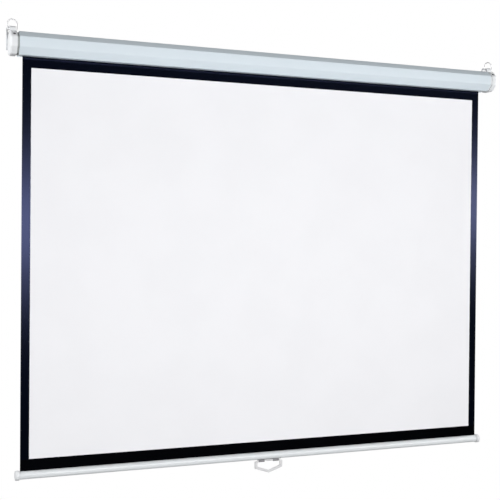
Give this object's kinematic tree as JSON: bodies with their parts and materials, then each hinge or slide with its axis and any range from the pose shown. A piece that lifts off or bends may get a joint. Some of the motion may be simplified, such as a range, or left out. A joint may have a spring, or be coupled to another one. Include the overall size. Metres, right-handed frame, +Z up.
{
  "type": "pull down projector screen",
  "caption": "Manual pull-down projector screen: white octagonal steel case with moulded end caps, spring roller, black-bordered white sheet and weighted bar with a loop handle",
  "frame": {"origin": "centre of the case's flat back, on the wall plane, at the case's middle height and length", "axes": "+X along the case to the viewer's right, +Y into the wall, +Z up"},
  "size_m": [1.7508, 0.08, 1.4499],
  "materials": {
    "case_paint": "satin white stoved paint on folded steel sheet",
    "cap_plastic": "moulded, fine matt white",
    "black_screw": "black oxide",
    "zinc_plate": "bright zinc plate on steel",
    "ring_steel": "bright plated steel wire",
    "white_sheet": "matt white coated cloth, black border and back",
    "black_sheet": "matt black coated cloth",
    "tube_steel": "galvanised steel tube",
    "nylon": "natural moulded nylon",
    "spring_steel": "oiled spring steel",
    "bar_paint": "satin white paint on steel tube",
    "dark_clip": "moulded, matt dark grey",
    "handle_plastic": "moulded, light gloss white"
  },
  "bodies": {
    "case": {"case_shell": "case_paint", "end_cap_left": "cap_plastic", "end_cap_right": "cap_plastic", "cap_screw_left": "black_screw", "cap_screw_right": "black_screw", "shell_screw_left": "zinc_plate", "shell_screw_right": "zinc_plate", "wall_ear_left": "zinc_plate", "wall_ear_right": "zinc_plate", "ear_screw_left_upper": "zinc_plate", "ear_screw_left_lower": "zinc_plate", "ear_screw_right_upper": "zinc_plate", "ear_screw_right_lower": "zinc_plate", "idle_bush": "nylon", "tang_holder": "zinc_plate", "spring_spindle": "zinc_plate", "ratchet_disc": "zinc_plate", "spring_collar": "zinc_plate", "torsion_spring": "spring_steel", "screen_sheet": "white_sheet"},
    "roller": {"roller_tube": "tube_steel", "wound_fabric": "black_sheet", "idle_plug": "nylon", "idle_pin": "zinc_plate", "lock_head": "nylon", "spring_anchor": "zinc_plate", "pawl_pin_upper": "zinc_plate", "pawl_pin_lower": "zinc_plate"},
    "upper_pawl": {"pawl_upper": "spring_steel"},
    "lower_pawl": {"pawl_lower": "spring_steel"},
    "screen_bar": {"bottom_border": "black_sheet", "hem_rod": "nylon", "bottom_bar": "bar_paint", "bar_plug_left": "cap_plastic", "bar_plug_right": "cap_plastic", "handle_clip": "dark_clip", "clip_rivet_left": "zinc_plate", "clip_rivet_right": "zinc_plate"},
    "handle": {"pull_handle": "handle_plastic"},
    "left_ring": {"hanging_ring_left": "ring_steel"},
    "right_ring": {"hanging_ring_right": "ring_steel"}
  },
  "joints": [
    {"name": "screen_drop", "type": "slide", "parent": "case", "child": "screen_bar", "axis": [0, 0, 1], "range_m": [0, 1.264], "deforming": ["screen_sheet"]},
    {"name": "roller_spin", "type": "hinge", "parent": "case", "child": "roller", "pos_m": [0, -0.04255, 0], "axis": [1, 0, 0], "range_deg": [0, 3600]},
    {"name": "upper_pawl_swing", "type": "hinge", "parent": "roller", "child": "upper_pawl", "pos_m": [0.8326, -0.04255, 0.0115], "axis": [1, 0, 0], "range_deg": [-15, 20]},
    {"name": "lower_pawl_swing", "type": "hinge", "parent": "roller", "child": "lower_pawl", "pos_m": [0.8326, -0.04255, -0.0115], "axis": [1, 0, 0], "range_deg": [-15, 20]},
    {"name": "handle_swing", "type": "hinge", "parent": "screen_bar", "child": "handle", "pos_m": [0, -0.025, -1.3327], "axis": [1, 0, 0], "range_deg": [-88, 88]},
    {"name": "left_ring_swing", "type": "hinge", "parent": "case", "child": "left_ring", "pos_m": [-0.8595, -0.038, 0.0405], "axis": [1, 0, 0], "range_deg": [-100, 100]},
    {"name": "right_ring_swing", "type": "hinge", "parent": "case", "child": "right_ring", "pos_m": [0.8595, -0.038, 0.0405], "axis": [1, 0, 0], "range_deg": [-100, 100]}
  ],
  "couplings": [
    {"joint": "roller_spin", "follows": "screen_drop", "rad_per_m": 49.709}
  ]
}
